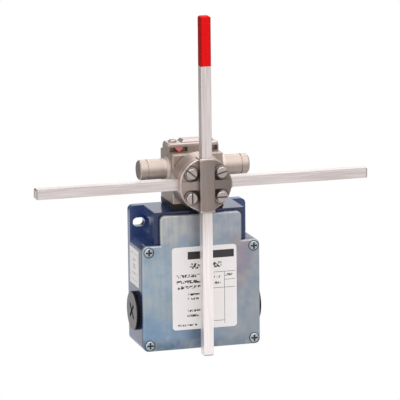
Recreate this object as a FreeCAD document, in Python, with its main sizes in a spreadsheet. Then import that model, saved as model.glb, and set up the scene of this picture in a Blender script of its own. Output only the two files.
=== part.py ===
import FreeCAD, Part
import os
import re
import Sketcher

# A position switch for cranes and hoists: a die-cast body with a screwed-on cover, a cast head on top
# of it, and two crossed square rods clamped to the head's shaft, which stays put every quarter turn.
#
# Lengths are in millimetres. X points right, Y to the back, where the switch is screwed to a wall, and
# Z up. The origin lies on the back face, midway between the two fixing slots. "Forward" is the distance
# from that back face towards the viewer, so a point's forward distance is minus its Y.

# The driving sizes. Each one can be changed by itself.
SIZES = {
    # Casting of the body
    "body_width": "71",
    "body_height": "82",
    "shoulder_height": "63",
    "block_width": "55",
    "casting_depth": "30",
    "ear_thickness": "5.5",
    "side_wall": "4",
    "floor_wall": "5",
    "back_wall": "3.5",
    "block_wall": "7.5",
    "top_wall": "3.5",
    "casting_radius": "3",
    "block_radius": "0.8",
    "boss_radius": "3.2",
    # Fixing slots in the ears
    "slot_spacing": "60",
    "slot_width": "5.3",
    "slot_length": "7.4",
    "slot_height": "72",
    "relief_radius": "5.2",
    "relief_depth": "14",
    # Cable entries and the plugs that close two of them
    "entry_radius": "9.2",
    "entry_height": "21.5",
    "entry_forward": "16.5",
    "plug_radius": "11.5",
    "plug_head": "2.1",
    "plug_chamfer": "0.3",
    "plug_thread_length": "7",
    "plug_seal_thickness": "0.5",
    "plug_seal_inset": "0.5",
    "plug_slot_length": "11",
    "plug_slot_width": "1.3",
    "plug_slot_depth": "1.2",
    "thread_play": "0.1",
    # Cover and its gasket
    "gasket_thickness": "0.8",
    "gasket_inset": "0.4",
    "gasket_land": "1.5",
    "cover_thickness": "2.7",
    "tab_width": "49.2",
    "tab_rim": "1.5",
    "cover_radius": "3",
    "cover_edge": "1",
    # Small pan-head screws
    "screw_inset": "3.7",
    "screw_radius": "1.5",
    "screw_length": "8",
    "screw_head_radius": "2.8",
    "screw_head_height": "2",
    "screw_head_edge": "0.6",
    "hidden_screw_flats": "5",
    "screw_play": "0.05",
    "recess_radius": "3.2",
    "recess_depth": "1.3",
    "cross_length": "4",
    "cross_width": "1",
    "cross_depth": "1",
    # Labels
    "plate_width": "39.2",
    "plate_height": "49.4",
    "plate_shift": "1.6",
    "plate_drop": "1.8",
    "plate_thickness": "0.3",
    "plate_radius": "2",
    "side_label_width": "20",
    "side_label_height": "22",
    "side_label_forward": "14.5",
    "side_label_drop": "4.5",
    "side_label_thickness": "0.2",
    # Head
    "head_width": "30.5",
    "head_depth": "26.5",
    "head_back": "1.5",
    "head_gasket_thickness": "0.6",
    "head_gasket_inset": "0.4",
    "pedestal_height": "3.4",
    "flange_height": "29",
    "flange_thickness": "9",
    "crown_height": "3.4",
    "crown_back": "6.5",
    "head_side_wall": "3.75",
    "head_rear_wall": "3",
    "head_front_wall": "6.5",
    "head_roof": "2",
    "head_edge": "0.6",
    "head_screw_depth": "7",
    "head_screw_forward": "14.75",
    "window_width": "11",
    "window_height": "2.7",
    "window_depth": "4",
    "window_offset": "9.1",
    "window_sill": "0.1",
    "pointer_width": "4.4",
    "pointer_stand": "1.5",
    "pointer_play": "0.1",
    "cap_thickness": "1.6",
    "cap_chamfer": "1.2",
    "cap_pad_width": "13",
    "cap_pad_depth": "9.5",
    "cap_pad_height": "1.6",
    "cap_screw_offset": "11",
    "cap_screw_head_height": "1.4",
    "cap_screw_head_radius": "2.4",
    # Barrels that hold the stay-put springs
    "barrel_radius": "6",
    "barrel_bore": "4.65",
    "barrel_reach": "27.6",
    "barrel_rise": "5.7",
    "barrel_forward": "17",
    "barrel_flare": "1.8",
    "barrel_cap_length": "5.7",
    "barrel_cap_edge": "0.9",
    "barrel_groove_width": "0.8",
    "barrel_groove_depth": "0.4",
    "barrel_groove_inset": "0.5",
    "barrel_spigot": "4.5",
    "shoe_thickness": "2.5",
    "shoe_height": "16.6",
    "shoe_depth": "7",
    "shoe_stem": "9.4",
    "shoe_gap": "0.2",
    "detent_spring_radius": "2.8",
    "detent_spring_turns": "4",
    "spring_wire": "0.8",
    "spring_play": "0.3",
    "spring_seat": "6",
    # Shaft, its bearings and its cams
    "axis_rise": "13.6",
    "shaft_radius": "4",
    "shaft_square": "5.6",
    "rear_journal_radius": "2.7",
    "running_play": "0.03",
    "fit_play": "0.03",
    "bush_radius": "5.5",
    "bush_length": "4",
    "rear_bush_radius": "5",
    "rear_bush_length": "3.2",
    "rear_pocket_depth": "2",
    "detent_cam_side": "12",
    "detent_cam_corner": "7.8",
    "detent_cam_length": "7.6",
    "washer_thickness": "0.5",
    "washer_radius": "6.5",
    "cam_base_radius": "5.2",
    "cam_lobe_reach": "7.4",
    "cam_lobe_radius": "2.4",
    "cam_length": "3",
    "cam_spacing": "3.4",
    "cam_gap": "0.1",
    # Contacts
    "push_rod_radius": "1.5",
    "push_rod_offset": "3.5",
    "push_rod_gap": "0.3",
    "contact_stroke": "2.2",
    "carrier_width": "13.5",
    "carrier_depth": "6.4",
    "carrier_height": "5",
    "carrier_drop": "7",
    "bridge_overhang": "0.3",
    "bridge_depth": "3",
    "bridge_thickness": "0.9",
    "contact_margin": "0.3",
    "contact_block_width": "39",
    "contact_block_depth": "17",
    "contact_block_height": "30",
    "contact_block_gap": "3.5",
    "chamber_width": "33",
    "chamber_depth": "11",
    "chamber_top": "5",
    "chamber_floor": "7",
    "contact_spring_radius": "2.6",
    "contact_spring_turns": "3",
    "strip_width": "2",
    "strip_thickness": "0.9",
    "strip_overlap": "1.4",
    "strip_tail": "8.4",
    "terminal_drop": "5",
    "terminal_head_radius": "1.9",
    "terminal_head_height": "1.6",
    "terminal_slot": "0.6",
    "block_screw_inset": "3",
    "block_screw_bite": "2.4",
    "earth_inset": "8.5",
    "earth_height": "10.5",
    "earth_boss_radius": "4",
    "earth_boss_height": "3.5",
    "earth_screw_length": "5",
    "earth_clamp_side": "7",
    "earth_clamp_thickness": "1",
    # Lever with its two crossed rods
    "lever_gap": "0.5",
    "hub_radius": "15.7",
    "hub_floor": "6.2",
    "hub_flare": "1.2",
    "hub_edge": "0.4",
    "tenon_length": "3",
    "tenon_play": "0.04",
    "hub_screw_head_radius": "3.2",
    "hub_screw_head_height": "2",
    "hub_screw_radius": "1.5",
    "hub_screw_length": "9",
    "rod_size": "6",
    "rod_length": "200",
    "upright_drop": "1.5",
    "rod_chamfer": "0.8",
    "rod_play": "0.05",
    "rib_width": "8.8",
    "rib_length": "31.8",
    "rib_wall": "1.4",
    "web_width": "5.2",
    "web_cover": "3.5",
    "web_step": "1",
    "clamp_screw_across": "17.9",
    "clamp_screw_up": "14.4",
    "clamp_screw_radius": "1.75",
    "clamp_screw_bite": "6",
    "clamp_head_radius": "3.3",
    "clamp_head_height": "2.4",
    "clamp_head_edge": "0.5",
    "clamp_washer_radius": "3.9",
    "clamp_washer_thickness": "0.8",
    "clamp_slot_width": "0.9",
    "clamp_slot_depth": "1.1",
    "sleeve_length": "29",
    "sleeve_wall": "0.3",
    "sleeve_cap": "1.2",
    "sleeve_play": "0.05",
}

# Places and sizes that follow from the driving ones, in the order in which they are worked out.
PLACES = {
    "half_width": "body_width / 2",
    "half_block": "block_width / 2",
    "half_tab": "tab_width / 2",
    "underside": "-slot_height",
    "shoulder": "shoulder_height - slot_height",
    "body_top": "body_height - slot_height",
    "tab_top": "body_top - tab_rim",
    "gasket_front": "casting_depth + gasket_thickness",
    "cover_front": "gasket_front + cover_thickness",
    "cavity_half": "half_width - side_wall",
    "cavity_low": "underside + floor_wall",
    "cavity_shoulder": "shoulder - top_wall",
    "cavity_top": "body_top - top_wall",
    "tab_cavity_half": "half_block - block_wall",
    "entry_z": "underside + entry_height",
    "screw_x": "half_width - screw_inset",
    "screw_low": "underside + screw_inset",
    "screw_high": "shoulder - screw_inset",
    "recess_floor": "cover_front - recess_depth",
    "screw_hole": "screw_radius + screw_play",
    "plate_high": "shoulder - plate_drop",
    "side_label_high": "shoulder - side_label_drop",
    "plug_thread_radius": "entry_radius - thread_play",
    "head_half": "head_width / 2",
    "head_front": "head_back + head_depth",
    "pedestal_low": "body_top + head_gasket_thickness",
    "head_low": "pedestal_low + pedestal_height",
    "axis_z": "head_low + axis_rise",
    "flange_top": "head_low + flange_height",
    "flange_back": "head_front - flange_thickness",
    "crown_top": "flange_top + crown_height",
    "cap_top": "crown_top + cap_thickness",
    "crown_mid": "(crown_back + flange_back) / 2",
    "head_cavity_half": "head_half - head_side_wall",
    "head_cavity_back": "head_back + head_rear_wall",
    "head_cavity_front": "head_front - head_front_wall",
    "head_cavity_top": "flange_top - head_roof",
    "head_screw_x": "head_half - head_side_wall / 2",
    "barrel_z": "axis_z + barrel_rise",
    "barrel_cap_end": "barrel_reach + barrel_cap_length",
    "shoe_face": "detent_cam_corner + shoe_gap",
    "shoe_back": "shoe_face + shoe_thickness",
    "stem_end": "shoe_back + shoe_stem",
    "stem_radius": "barrel_bore - screw_play",
    "spring_bore": "detent_spring_radius + spring_play",
    "detent_spring_start": "stem_end - spring_seat",
    "detent_spring_end": "barrel_reach + barrel_cap_edge",
    "detent_cam_back": "head_cavity_front - cam_gap - washer_thickness - cam_gap - detent_cam_length",
    "washer_back": "head_cavity_front - cam_gap - washer_thickness",
    "front_cam_back": "detent_cam_back - cam_gap - cam_length",
    "rear_cam_back": "front_cam_back - cam_spacing",
    "rear_pocket_floor": "head_cavity_back - rear_pocket_depth",
    "rear_bush_front": "rear_pocket_floor + rear_bush_length",
    "hub_back": "head_front + lever_gap",
    "flat_rod_back": "hub_back + hub_floor",
    "flat_rod_front": "flat_rod_back + rod_size",
    "clamp_split": "flat_rod_back + rod_size / 2",
    "tall_rod_back": "flat_rod_front + 2 * rod_play",
    "tall_rod_front": "tall_rod_back + rod_size",
    "rib_front": "tall_rod_front + rod_play + rib_wall",
    "rim_front": "flat_rod_front + web_cover",
    "web_front": "rim_front + web_step",
    "channel_half": "rod_size / 2 + rod_play",
    "tenon_front": "hub_back + tenon_length",
    "push_rod_top": "axis_z - cam_lobe_reach - push_rod_gap",
    "rod_gate_half": "push_rod_offset + 2 * push_rod_radius",
    "rod_gate_back": "rear_cam_back - push_rod_radius",
    "rod_gate_front": "front_cam_back + cam_length + push_rod_radius",
    "block_top": "cavity_top - contact_block_gap",
    "block_low": "block_top - contact_block_height",
    "block_front": "back_wall + contact_block_depth",
    "chamber_roof": "block_top - chamber_top",
    "chamber_low": "block_low + chamber_floor",
    "chamber_front": "back_wall + chamber_depth",
    "carrier_top": "block_top - carrier_drop",
    "carrier_low": "carrier_top - carrier_height",
    "bridge_low": "carrier_low - bridge_thickness",
    "contact_forward": "(rear_cam_back + front_cam_back + cam_length) / 2",
    "carrier_inner": "push_rod_offset - push_rod_radius",
    "carrier_outer": "carrier_inner + carrier_width",
    "carrier_mid": "carrier_inner + carrier_width / 2",
    "strip_top": "bridge_low - contact_stroke - contact_margin",
    "strip_inner": "carrier_inner + strip_overlap",
    "strip_outer": "carrier_outer - strip_overlap",
    "strip_tail_front": "block_front + strip_thickness",
    "terminal_z": "strip_top - terminal_drop",
    "block_screw_x": "contact_block_width / 2 - block_screw_inset",
    "block_screw_z": "block_low + block_screw_inset",
    "earth_offset": "cavity_half - earth_inset",
    "earth_z": "underside + earth_height",
    "earth_seat": "back_wall + earth_boss_height",
    "clamp_seat": "rim_front + clamp_washer_thickness",
    "clamp_x": "clamp_screw_across / 2",
    "clamp_up": "clamp_screw_up / 2",
    "rod_half": "rod_size / 2",
    "upright_low": "axis_z - upright_drop - rod_length / 2",
    "upright_high": "upright_low + rod_length",
    "sleeve_low": "upright_high - sleeve_length",
    "sleeve_core_half": "rod_size / 2 - sleeve_wall - sleeve_play",
}

DOC = FreeCAD.newDocument("position_switch")


def fill_sheet(name, cells, formula_mark):
    """Writes one sheet with a named cell per size."""
    sheet = DOC.addObject("Spreadsheet::Sheet", name)
    for row, (alias, content) in enumerate(cells.items(), start=1):
        sheet.set(f"A{row}", alias)
        sheet.set(f"B{row}", formula_mark + link(content) if formula_mark else content)
        sheet.setAlias(f"B{row}", alias)
    DOC.recompute()
    return sheet


def link(expression):
    """Puts the name of its sheet before every size and place in an expression."""
    def with_sheet(word):
        name = word.group(0)
        if name in SIZES:
            return "Sizes." + name
        return "Places." + name if name in PLACES else name
    return re.sub(r"[a-z_]+", with_sheet, str(expression))


sizes = fill_sheet("Sizes", SIZES, "")
places = fill_sheet("Places", PLACES, "=")

# The three planes that outlines are drawn on, and the way in which a pad grows from each.
FRONT = "XZ_Plane"  # outline in X and Z, grows forward
LEVEL = "XY_Plane"  # outline in X and Y, grows up
SIDE = "YZ_Plane"   # outline in Y and Z, grows to the right

SIDES = {"left": -1, "right": 1}


def now(expression):
    """The present value of an expression."""
    return float(sizes.evalExpression(link(expression)))


def bind(thing, path, expression):
    thing.setExpression(path, link(expression))


def new_body(label):
    body = DOC.addObject("PartDesign::Body", label)
    body.Label = label
    body.AllowCompound = True
    return body


def sketch_on(body, role, out="0", across="0", up="0", turn=0):
    """A sketch on one of the body's planes, moved out along its normal and across and up within it."""
    sketch = body.newObject("Sketcher::SketchObject", "outline")
    plane = next(part for part in body.Origin.OriginFeatures if part.Role == role)
    sketch.AttachmentSupport = [(plane, "")]
    sketch.MapMode = "FlatFace"
    spin = FreeCAD.Rotation(FreeCAD.Vector(0, 0, 1), turn)
    sketch.AttachmentOffset = FreeCAD.Placement(FreeCAD.Vector(now(across), now(up), now(out)), spin)
    for axis, expression in (("x", across), ("y", up), ("z", out)):
        bind(sketch, f"AttachmentOffset.Base.{axis}", expression)
    return sketch


def hold(sketch, curve, point, u, v):
    """Ties one point of a curve to its place in the sketch."""
    for kind, expression in (("DistanceX", u), ("DistanceY", v)):
        rule = Sketcher.Constraint(kind, -1, 1, curve, point, now(expression))
        index = sketch.addConstraint(rule)
        bind(sketch, f"Constraints[{index}]", expression)


def polygon(sketch, corners):
    spots = [FreeCAD.Vector(now(u), now(v), 0) for u, v in corners]
    first = sketch.GeometryCount
    for here, there in zip(spots, spots[1:] + spots[:1]):
        sketch.addGeometry(Part.LineSegment(here, there), False)
    for step, (u, v) in enumerate(corners):
        following = first + (step + 1) % len(corners)
        sketch.addConstraint(Sketcher.Constraint("Coincident", first + step, 2, following, 1))
        hold(sketch, first + step, 1, u, v)
    return sketch


def rectangle(sketch, left, right, low, high):
    return polygon(sketch, [(left, low), (right, low), (right, high), (left, high)])


def centred(sketch, width, height):
    return rectangle(sketch, f"-({width}) / 2", f"({width}) / 2", f"-({height}) / 2", f"({height}) / 2")


def tee(sketch, half, tab_half, low, waist, high):
    """The outline of the casting and its cover: a wide lower part with a narrower tab above it."""
    return polygon(sketch, [
        (f"-({half})", low), (half, low), (half, waist), (tab_half, waist),
        (tab_half, high), (f"-({tab_half})", high), (f"-({tab_half})", waist), (f"-({half})", waist),
    ])


def circle(sketch, u, v, radius):
    centre = FreeCAD.Vector(now(u), now(v), 0)
    curve = sketch.addGeometry(Part.Circle(centre, FreeCAD.Vector(0, 0, 1), now(radius)), False)
    hold(sketch, curve, 3, u, v)
    index = sketch.addConstraint(Sketcher.Constraint("Radius", curve, now(radius)))
    bind(sketch, f"Constraints[{index}]", radius)
    return sketch


def circles(sketch, spots, radius):
    for u, v in spots:
        circle(sketch, u, v, radius)
    return sketch


def long_hole(sketch, u, v, length, width):
    """A slot with round ends, lying across the sketch."""
    reach = f"(({length}) - ({width})) / 2"
    radius = now(width) / 2
    middle = FreeCAD.Vector(now(u), now(v), 0)
    shift = FreeCAD.Vector(now(reach), 0, 0)
    rise = FreeCAD.Vector(0, radius, 0)
    quarter = FreeCAD.Vector(radius, 0, 0)
    left, right = middle - shift, middle + shift
    low = sketch.addGeometry(Part.LineSegment(left - rise, right - rise), False)
    end = sketch.addGeometry(Part.Arc(right - rise, right + quarter, right + rise), False)
    high = sketch.addGeometry(Part.LineSegment(right + rise, left + rise), False)
    start = sketch.addGeometry(Part.Arc(left + rise, left - quarter, left - rise), False)
    for first, first_end, second, second_end in (
        (low, 2, end, 1), (end, 2, high, 1), (high, 2, start, 1), (start, 2, low, 1),
    ):
        sketch.addConstraint(Sketcher.Constraint("Tangent", first, first_end, second, second_end))
    hold(sketch, end, 3, f"{u} + {reach}", v)
    hold(sketch, start, 3, f"{u} - {reach}", v)
    index = sketch.addConstraint(Sketcher.Constraint("Radius", end, radius))
    bind(sketch, f"Constraints[{index}]", f"({width}) / 2")
    return sketch


def feature(body, kind, name):
    made = body.newObject(kind, name)
    body.Tip = made
    return made


def pad(body, sketch, length, back=False):
    """Adds the outline's solid, along the sketch's normal or back against it."""
    made = feature(body, "PartDesign::Pad", "pad")
    made.Profile = sketch
    made.Reversed = back
    bind(made, "Length", length)
    DOC.recompute()
    return made


def cut(body, sketch, length, out=False):
    """Takes the outline's solid away, against the sketch's normal or out along it."""
    before = body.Shape.Volume
    made = feature(body, "PartDesign::Pocket", "pocket")
    made.Profile = sketch
    made.Reversed = out
    bind(made, "Length", length)
    DOC.recompute()
    if not body.Shape.Volume < before:
        raise RuntimeError(f"{body.Label}: a pocket cuts nothing")
    return made


def revolve(body, sketch, axis):
    made = feature(body, "PartDesign::Revolution", "turned")
    made.Profile = sketch
    made.ReferenceAxis = (sketch, [axis])
    made.Angle = 360
    DOC.recompute()
    return made


def soften(body, kind, test, size):
    """Fillets or chamfers the edges of the body that a test picks."""
    base = body.Tip
    names = [f"Edge{i}" for i, edge in enumerate(base.Shape.Edges, start=1) if test(edge)]
    if not names:
        raise RuntimeError(f"{body.Label}: no edge to soften")
    made = feature(body, kind, "softened")
    made.Base = (base, names)
    bind(made, "Radius" if kind == ROUND else "Size", size)
    DOC.recompute()
    return made


ROUND = "PartDesign::Fillet"
BEVEL = "PartDesign::Chamfer"
NEAR = 0.01


def close(value, expression):
    return abs(value - now(expression)) < NEAR


def runs_along(edge, axis):
    box = edge.BoundBox
    spans = {"x": box.XLength, "y": box.YLength, "z": box.ZLength}
    return spans.pop(axis) > NEAR and max(spans.values()) < NEAR


def at_forward(edge, expression):
    return close(-edge.BoundBox.YMin, expression) and edge.BoundBox.YLength < NEAR


def at_x(edge, expression):
    return close(edge.BoundBox.XMin, expression) and edge.BoundBox.XLength < NEAR


def at_z(edge, expression):
    return close(edge.BoundBox.ZMin, expression) and edge.BoundBox.ZLength < NEAR


def four(x, low, high):
    return [(f"{sign}({x})", z) for sign in ("-", "") for z in (low, high)]


COVER_SCREWS = four("screw_x", "screw_low", "screw_high")
CLAMP_SCREWS = four("clamp_x", "axis_z - clamp_up", "axis_z + clamp_up")
HEAD_SCREWS = [("-head_screw_x", "-head_screw_forward"), ("head_screw_x", "-head_screw_forward")]
CAP_SCREWS = [("-cap_screw_offset", "-crown_mid"), ("cap_screw_offset", "-crown_mid")]
BLOCK_SCREWS = [("-block_screw_x", "block_screw_z"), ("block_screw_x", "block_screw_z")]
STRIPS = ["-strip_outer", "-strip_inner", "strip_inner", "strip_outer"]
PUSH_RODS = {"left": ("-push_rod_offset", "rear_cam_back + cam_length / 2"),
             "right": ("push_rod_offset", "front_cam_back + cam_length / 2")}


def rod_gate(sketch):
    """The opening that both push rods go through on their way down."""
    return rectangle(sketch, "-rod_gate_half", "rod_gate_half", "-rod_gate_front", "-rod_gate_back")


def body_casting():
    body = new_body("body_casting")
    ears = rectangle(sketch_on(body, FRONT), "-half_width", "half_width", "underside", "body_top")
    pad(body, ears, "ear_thickness")
    box = tee(sketch_on(body, FRONT), "half_width", "half_block", "underside", "shoulder", "body_top")
    pad(body, box, "casting_depth")
    soften(body, ROUND, lambda edge: runs_along(edge, "y") and close(abs(edge.BoundBox.XMin), "half_width"),
           "casting_radius")
    soften(body, ROUND, lambda edge: runs_along(edge, "y") and close(abs(edge.BoundBox.XMin), "half_block")
           and close(edge.BoundBox.ZMin, "body_top"), "block_radius")
    hollow = sketch_on(body, FRONT, out="casting_depth")
    tee(hollow, "cavity_half", "tab_cavity_half", "cavity_low", "cavity_shoulder", "cavity_top")
    cut(body, hollow, "casting_depth - back_wall")
    bosses = circles(sketch_on(body, FRONT, out="back_wall"), COVER_SCREWS, "boss_radius")
    pad(body, bosses, "casting_depth - back_wall")
    taps = circles(sketch_on(body, FRONT, out="casting_depth"), COVER_SCREWS, "screw_hole")
    cut(body, taps, "screw_length")
    earth = circle(sketch_on(body, FRONT, out="back_wall"), "earth_offset", "earth_z", "earth_boss_radius")
    pad(body, earth, "earth_boss_height")
    earth_tap = circle(sketch_on(body, FRONT, out="earth_seat"), "earth_offset", "earth_z", "screw_hole")
    cut(body, earth_tap, "earth_screw_length")
    block_taps = circles(sketch_on(body, FRONT, out="back_wall"), BLOCK_SCREWS, "screw_hole")
    cut(body, block_taps, "block_screw_bite")
    # Fixing slots, and room beside them for the heads of the fixing screws
    for sign in ("-", ""):
        slot = sketch_on(body, FRONT, out="ear_thickness")
        long_hole(slot, f"{sign}slot_spacing / 2", "0", "slot_length", "slot_width")
        cut(body, slot, "ear_thickness")
        relief = sketch_on(body, FRONT, out="ear_thickness + relief_depth")
        circle(relief, f"{sign}slot_spacing / 2", "0", "relief_radius")
        cut(body, relief, "relief_depth")
    # Cable entries left, right and below
    for sign in ("-", ""):
        entry = sketch_on(body, SIDE, out=f"{sign}half_width")
        circle(entry, "-entry_forward", "entry_z", "entry_radius")
        cut(body, entry, "side_wall", out=sign == "-")
    below = circle(sketch_on(body, LEVEL, out="underside"), "0", "-entry_forward", "entry_radius")
    cut(body, below, "floor_wall", out=True)
    # The roof, which the push rods and the head's screws go through
    cut(body, rod_gate(sketch_on(body, LEVEL, out="body_top")), "top_wall")
    roof_holes = circles(sketch_on(body, LEVEL, out="body_top"), HEAD_SCREWS, "screw_hole")
    cut(body, roof_holes, "top_wall")
    return body


def cover_gasket():
    body = new_body("cover_gasket")
    ring = sketch_on(body, FRONT, out="casting_depth")
    tee(ring, "half_width - gasket_inset", "half_tab - gasket_inset", "underside + gasket_inset",
        "shoulder - gasket_inset", "tab_top - gasket_inset")
    pad(body, ring, "gasket_thickness")
    soften(body, ROUND, lambda edge: runs_along(edge, "y")
           and not close(abs(edge.BoundBox.XMin), "half_tab - gasket_inset"), "casting_radius - gasket_inset")
    opening = sketch_on(body, FRONT, out="gasket_front")
    inner = "(gasket_inset + gasket_land)"
    tee(opening, f"half_width - {inner}", f"half_tab - {inner}", f"underside + {inner}",
        f"shoulder - {inner}", f"tab_top - {inner}")
    cut(body, opening, "gasket_thickness")
    return body


def front_cover():
    body = new_body("front_cover")
    outline = sketch_on(body, FRONT, out="gasket_front")
    tee(outline, "half_width", "half_tab", "underside", "shoulder", "tab_top")
    pad(body, outline, "cover_thickness")
    soften(body, ROUND, lambda edge: runs_along(edge, "y") and not (
        close(abs(edge.BoundBox.XMin), "half_tab") and close(edge.BoundBox.ZMin, "shoulder")), "cover_radius")
    soften(body, ROUND, lambda edge: at_forward(edge, "cover_front"), "cover_edge")
    recesses = circles(sketch_on(body, FRONT, out="cover_front"), COVER_SCREWS, "recess_radius")
    cut(body, recesses, "recess_depth")
    holes = circles(sketch_on(body, FRONT, out="cover_front"), COVER_SCREWS, "screw_hole")
    cut(body, holes, "cover_thickness")
    return body


def cover_screws():
    """Pan-head screws with cross recesses, one solid each."""
    body = new_body("cover_screws")
    shanks = sketch_on(body, FRONT, out="recess_floor - screw_length")
    pad(body, circles(shanks, COVER_SCREWS, "screw_radius"), "screw_length")
    heads = circles(sketch_on(body, FRONT, out="recess_floor"), COVER_SCREWS, "screw_head_radius")
    pad(body, heads, "screw_head_height")
    front = "recess_floor + screw_head_height"
    soften(body, BEVEL, lambda edge: at_forward(edge, front), "screw_head_edge")
    for u, v in COVER_SCREWS:
        for wide, tall in (("cross_length", "cross_width"), ("cross_width", "cross_length")):
            cross = sketch_on(body, FRONT, out=front, across=u, up=v)
            cut(body, centred(cross, wide, tall), "cross_depth")
    return body


def hexagon(sketch, u, v, flats):
    """A screw head's outline, lying on two of its corners."""
    corner, half_side = f"({flats}) / sqrt(3)", f"({flats}) / sqrt(3) / 2"
    return polygon(sketch, [
        (f"{u} + {corner}", v), (f"{u} + {half_side}", f"{v} + ({flats}) / 2"),
        (f"{u} - {half_side}", f"{v} + ({flats}) / 2"), (f"{u} - {corner}", v),
        (f"{u} - {half_side}", f"{v} - ({flats}) / 2"), (f"{u} + {half_side}", f"{v} - ({flats}) / 2"),
    ])


def hidden_screws(label, role, spots, seat, length):
    """Hexagon-head screws inside the switch, one solid each, with heads forward or below."""
    body = new_body(label)
    forward = role == FRONT
    shanks = circles(sketch_on(body, role, out=seat), spots, "screw_radius")
    pad(body, shanks, length, back=forward)
    heads = sketch_on(body, role, out=seat)
    for u, v in spots:
        hexagon(heads, u, v, "hidden_screw_flats")
    pad(body, heads, "screw_head_height", back=not forward)
    return body


def name_plate():
    body = new_body("name_plate")
    outline = sketch_on(body, FRONT, out="cover_front", across="plate_shift",
                        up="plate_high - plate_height / 2")
    pad(body, centred(outline, "plate_width", "plate_height"), "plate_thickness")
    soften(body, ROUND, lambda edge: runs_along(edge, "y"), "plate_radius")
    return body


def side_label():
    body = new_body("side_label")
    outline = sketch_on(body, SIDE, out="-half_width", across="-side_label_forward",
                        up="side_label_high - side_label_height / 2")
    pad(body, centred(outline, "side_label_width", "side_label_height"), "side_label_thickness", back=True)
    return body


def cable_plug(side):
    """A screwed plug with crossed coin slots in its face."""
    sign = SIDES[side]
    body = new_body(f"cable_plug_{side}")
    seat = f"{sign} * (half_width + plug_seal_thickness)"
    face = f"{sign} * (half_width + plug_seal_thickness + plug_head)"
    spot = {"across": "-entry_forward", "up": "entry_z"}
    head = circle(sketch_on(body, SIDE, out=seat, **spot), "0", "0", "plug_radius")
    pad(body, head, "plug_head", back=sign < 0)
    soften(body, BEVEL, lambda edge: at_x(edge, face), "plug_chamfer")
    thread = circle(sketch_on(body, SIDE, out=seat, **spot), "0", "0", "plug_thread_radius")
    pad(body, thread, "plug_seal_thickness + plug_thread_length", back=sign > 0)
    for turn in (45, 135):
        slot = sketch_on(body, SIDE, out=face, turn=turn, **spot)
        cut(body, centred(slot, "plug_slot_length", "plug_slot_width"), "plug_slot_depth", out=sign < 0)
    return body


def plug_seal(side):
    sign = SIDES[side]
    body = new_body(f"plug_seal_{side}")
    ring = sketch_on(body, SIDE, out=f"{sign} * half_width", across="-entry_forward", up="entry_z")
    circle(ring, "0", "0", "plug_radius - plug_seal_inset")
    circle(ring, "0", "0", "entry_radius")
    pad(body, ring, "plug_seal_thickness", back=sign < 0)
    return body


def head_footprint(sketch, inset="0"):
    return rectangle(sketch, f"-head_half + {inset}", f"head_half - {inset}",
                     f"-head_front + {inset}", f"-head_back - {inset}")


def head_gasket():
    body = new_body("head_gasket")
    sheet = head_footprint(sketch_on(body, LEVEL, out="body_top"), "head_gasket_inset")
    pad(body, sheet, "head_gasket_thickness")
    holes = circles(sketch_on(body, LEVEL, out="pedestal_low"), HEAD_SCREWS, "screw_hole")
    cut(body, holes, "head_gasket_thickness")
    cut(body, rod_gate(sketch_on(body, LEVEL, out="pedestal_low")), "head_gasket_thickness")
    return body


def head_base():
    """The black plinth under the head, which guides the two push rods."""
    body = new_body("head_base")
    pad(body, head_footprint(sketch_on(body, LEVEL, out="pedestal_low")), "pedestal_height")
    holes = circles(sketch_on(body, LEVEL, out="head_low"), HEAD_SCREWS, "screw_hole")
    cut(body, holes, "pedestal_height")
    for across, forward in PUSH_RODS.values():
        guide = circle(sketch_on(body, LEVEL, out="head_low"), across, f"-({forward})",
                       "push_rod_radius + running_play")
        cut(body, guide, "pedestal_height")
    return body


def head_housing():
    body = new_body("head_housing")
    pad(body, head_footprint(sketch_on(body, LEVEL, out="head_low")), "flange_height")
    soften(body, BEVEL, lambda edge: runs_along(edge, "z") or at_z(edge, "flange_top"), "head_edge")
    crown = rectangle(sketch_on(body, LEVEL, out="flange_top - head_edge"), "-head_half", "head_half",
                      "-flange_back", "-crown_back")
    pad(body, crown, "crown_height + head_edge")
    # Side barrels, flared where they leave the head
    for sign in (-1, 1):
        barrel = sketch_on(body, SIDE, out=f"{sign} * head_half", across="-barrel_forward", up="barrel_z")
        pad(body, circle(barrel, "0", "0", "barrel_radius"), "barrel_reach - head_half", back=sign < 0)
    soften(body, BEVEL, lambda edge: at_x(edge, "head_half") and edge.Closed
           or at_x(edge, "-head_half") and edge.Closed, "barrel_flare")
    # Space for the shaft's cams, open to the switch below
    hollow = rectangle(sketch_on(body, LEVEL, out="head_low"), "-head_cavity_half", "head_cavity_half",
                       "-head_cavity_front", "-head_cavity_back")
    cut(body, hollow, "head_cavity_top - head_low", out=True)
    bore = sketch_on(body, SIDE, out="barrel_reach", across="-barrel_forward", up="barrel_z")
    cut(body, circle(bore, "0", "0", "barrel_bore"), "2 * barrel_reach")
    front = circle(sketch_on(body, FRONT, out="head_front"), "0", "axis_z", "bush_radius + fit_play")
    cut(body, front, "head_front_wall")
    rear = sketch_on(body, FRONT, out="head_cavity_back", up="axis_z")
    cut(body, circle(rear, "0", "0", "rear_bush_radius + fit_play"), "rear_pocket_depth")
    taps = circles(sketch_on(body, LEVEL, out="head_low"), HEAD_SCREWS, "screw_hole")
    cut(body, taps, "head_screw_depth", out=True)
    cap_taps = circles(sketch_on(body, LEVEL, out="crown_top"), CAP_SCREWS, "screw_hole")
    cut(body, cap_taps, "crown_height")
    # Windows for the direction marks
    for sign in ("-", ""):
        window = sketch_on(body, FRONT, out="flange_back", across=f"{sign}window_offset",
                           up="flange_top + window_sill + window_height / 2")
        cut(body, centred(window, "window_width", "window_height"), "window_depth")
    return body


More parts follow.
